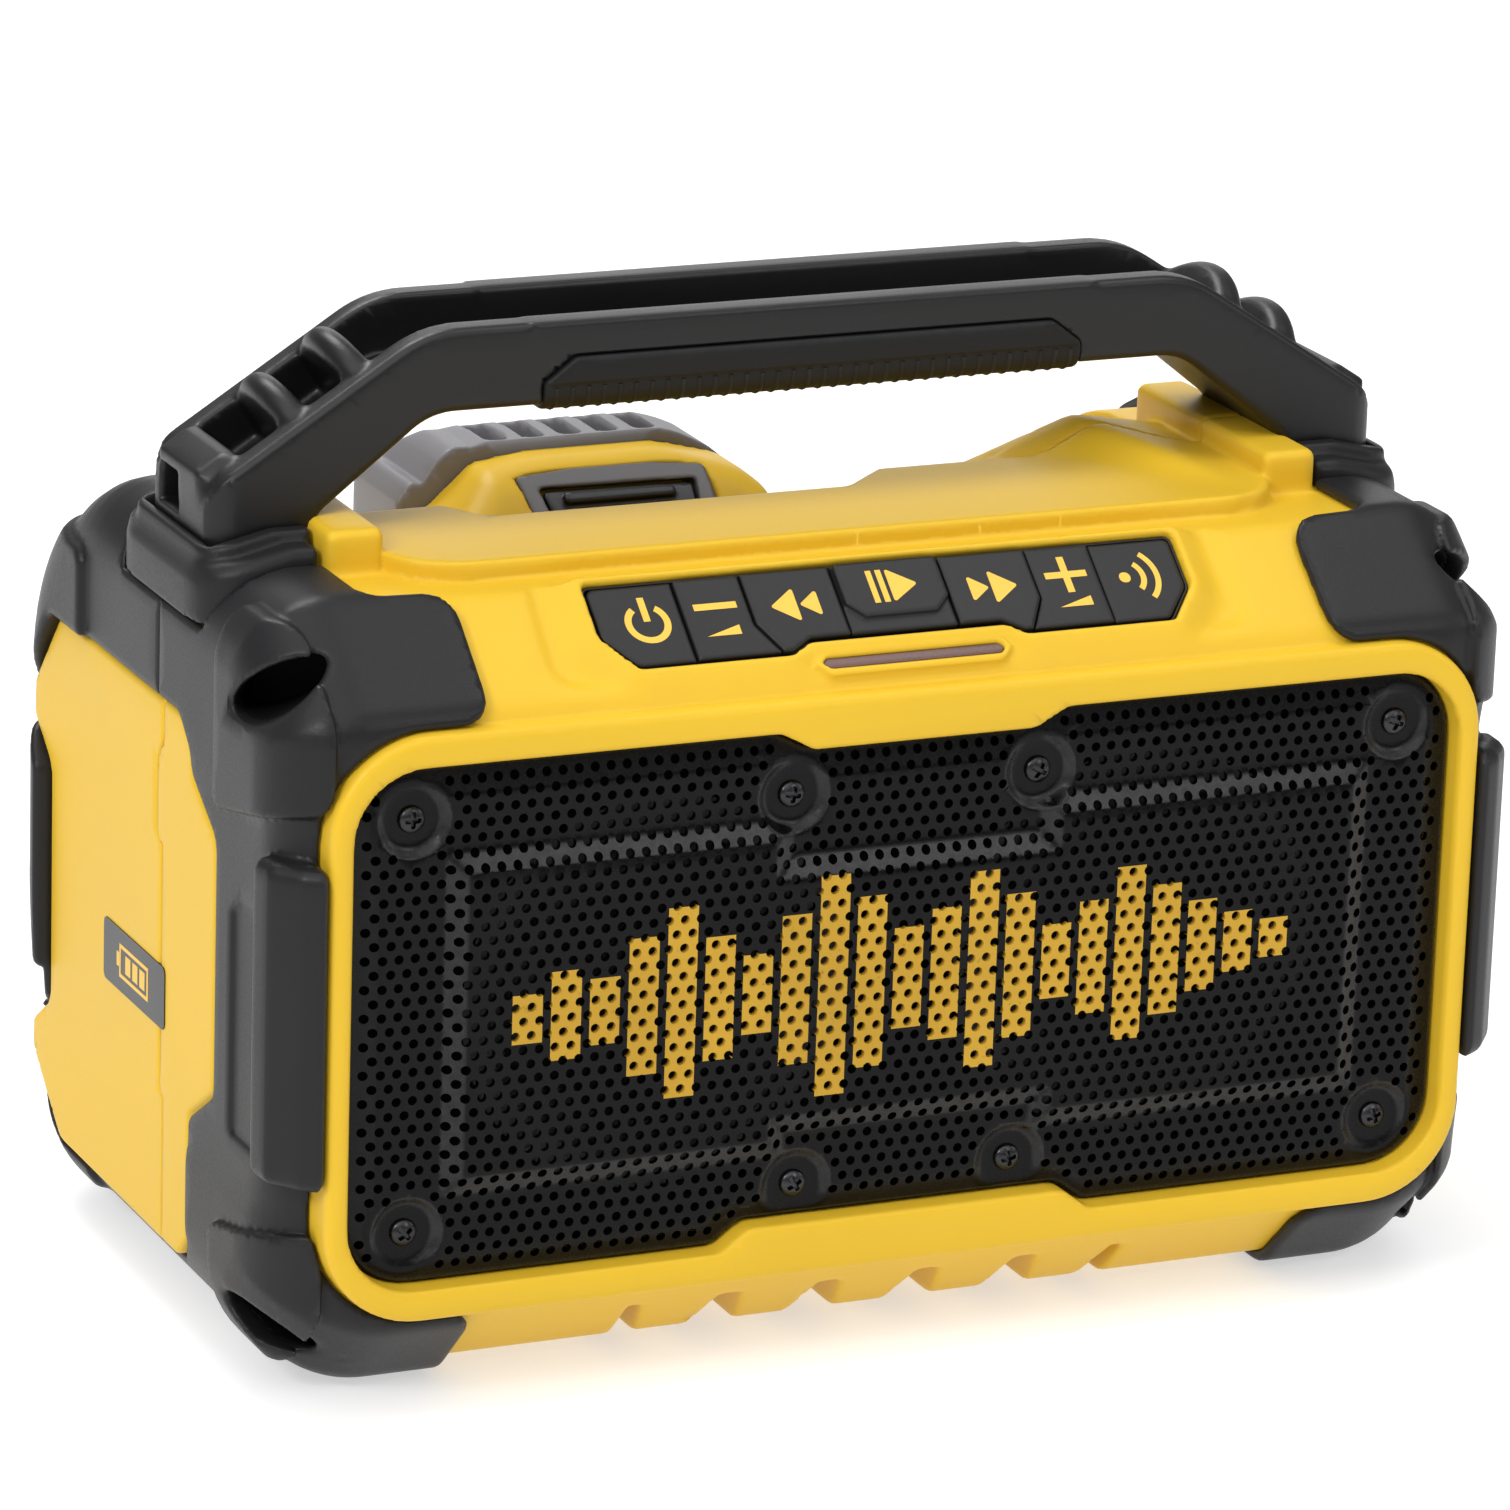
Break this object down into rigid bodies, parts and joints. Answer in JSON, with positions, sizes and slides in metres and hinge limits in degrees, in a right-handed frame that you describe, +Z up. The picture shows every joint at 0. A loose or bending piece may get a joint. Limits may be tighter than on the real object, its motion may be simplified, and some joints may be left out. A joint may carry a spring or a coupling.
{
  "type": "jobsite bluetooth speaker",
  "caption": "Rugged yellow and black jobsite speaker with a perforated grille, sloped keypad, carry handle, rubber corner bumpers and a slide-in battery.",
  "frame": {"origin": "middle of the footprint, on the ground under the feet", "axes": "+X to the right seen from the front, +Y to the back, +Z up"},
  "size_m": [0.265, 0.162, 0.2015],
  "materials": {
    "yellow_plastic": "fine moulded texture",
    "bumper_rubber": "matt, fine grain",
    "handle_plastic": "satin",
    "grip_rubber": "matt",
    "screw_steel": "plated",
    "grille_paint": "gloss black",
    "driver_frame": "satin black",
    "magnet_iron": "dull",
    "cone_pulp": "pressed fibre",
    "surround_rubber": "satin",
    "spider_cloth": "varnished cloth",
    "key_rubber": "satin",
    "board_laminate": "solder mask",
    "smoked_lens": "polished",
    "black_plastic": "satin",
    "contact_brass": "polished",
    "cover_plastic": "satin",
    "cell_sleeve": "shrink sleeve",
    "socket_steel": "bright"
  },
  "bodies": {
    "cabinet": {"front_housing": "yellow_plastic", "rear_housing": "yellow_plastic", "front_left_bumper": "bumper_rubber", "front_right_bumper": "bumper_rubber", "rear_left_bumper": "bumper_rubber", "rear_right_bumper": "bumper_rubber", "left_handle_socket": "bumper_rubber", "right_handle_socket": "bumper_rubber", "handle": "handle_plastic", "handle_grip": "grip_rubber", "seam_gasket": "grip_rubber", "handle_screws": "screw_steel", "grille_screws": "screw_steel", "case_screws": "screw_steel", "driver_screws": "screw_steel", "keypad_board_screws": "screw_steel", "main_board_screws": "screw_steel", "dock_screws": "screw_steel", "port_door_pin": "screw_steel", "grille": "grille_paint", "left_basket": "driver_frame", "right_basket": "driver_frame", "left_magnet": "magnet_iron", "right_magnet": "magnet_iron", "left_surround": "surround_rubber", "right_surround": "surround_rubber", "left_spider": "spider_cloth", "right_spider": "spider_cloth", "keypad_frame": "key_rubber", "keypad_board": "board_laminate", "main_board": "board_laminate", "port_board": "board_laminate", "status_lens": "smoked_lens", "battery_dock": "black_plastic", "aux_jack": "black_plastic", "dock_blades": "contact_brass", "usb_socket": "socket_steel"},
    "power_key_body": {"power_key": "key_rubber"},
    "volume_down_key_body": {"volume_down_key": "key_rubber"},
    "previous_key_body": {"previous_key": "key_rubber"},
    "play_key_body": {"play_key": "key_rubber"},
    "next_key_body": {"next_key": "key_rubber"},
    "volume_up_key_body": {"volume_up_key": "key_rubber"},
    "pairing_key_body": {"pairing_key": "key_rubber"},
    "left_cone_body": {"left_cone": "cone_pulp"},
    "right_cone_body": {"right_cone": "cone_pulp"},
    "battery_pack": {"battery_case": "yellow_plastic", "battery_cover": "cover_plastic", "battery_cells": "cell_sleeve", "latch_spring": "screw_steel"},
    "release_key_body": {"battery_latch": "black_plastic"},
    "port_door_body": {"port_door": "bumper_rubber"}
  },
  "joints": [
    {"name": "power_press", "type": "slide", "parent": "cabinet", "child": "power_key_body", "axis": [0, 0.626, -0.7798], "range_m": [0, 0.0008], "stiffness_N_per_m": 900},
    {"name": "volume_down_press", "type": "slide", "parent": "cabinet", "child": "volume_down_key_body", "axis": [0, 0.626, -0.7798], "range_m": [0, 0.0008], "stiffness_N_per_m": 900},
    {"name": "previous_press", "type": "slide", "parent": "cabinet", "child": "previous_key_body", "axis": [0, 0.626, -0.7798], "range_m": [0, 0.0008], "stiffness_N_per_m": 900},
    {"name": "play_press", "type": "slide", "parent": "cabinet", "child": "play_key_body", "axis": [0, 0.626, -0.7798], "range_m": [0, 0.0008], "stiffness_N_per_m": 900},
    {"name": "next_press", "type": "slide", "parent": "cabinet", "child": "next_key_body", "axis": [0, 0.626, -0.7798], "range_m": [0, 0.0008], "stiffness_N_per_m": 900},
    {"name": "volume_up_press", "type": "slide", "parent": "cabinet", "child": "volume_up_key_body", "axis": [0, 0.626, -0.7798], "range_m": [0, 0.0008], "stiffness_N_per_m": 900},
    {"name": "pairing_press", "type": "slide", "parent": "cabinet", "child": "pairing_key_body", "axis": [0, 0.626, -0.7798], "range_m": [0, 0.0008], "stiffness_N_per_m": 900},
    {"name": "left_cone_stroke", "type": "slide", "parent": "cabinet", "child": "left_cone_body", "axis": [0, -1, 0], "range_m": [-0.0015, 0.0015], "stiffness_N_per_m": 1800, "deforming": ["left_surround", "left_spider"]},
    {"name": "right_cone_stroke", "type": "slide", "parent": "cabinet", "child": "right_cone_body", "axis": [0, -1, 0], "range_m": [-0.0015, 0.0015], "stiffness_N_per_m": 1800, "deforming": ["right_surround", "right_spider"]},
    {"name": "battery_slide", "type": "slide", "parent": "cabinet", "child": "battery_pack", "axis": [0, 0, 1], "range_m": [0, 0.1]},
    {"name": "battery_release", "type": "slide", "parent": "battery_pack", "child": "release_key_body", "axis": [0, 1, 0], "range_m": [0, 0.003], "stiffness_N_per_m": 900, "deforming": ["latch_spring"]},
    {"name": "port_door_hinge", "type": "hinge", "parent": "cabinet", "child": "port_door_body", "pos_m": [0.06, 0.075, 0.0686], "axis": [-1, 0, 0], "range_deg": [0, 105]}
  ]
}
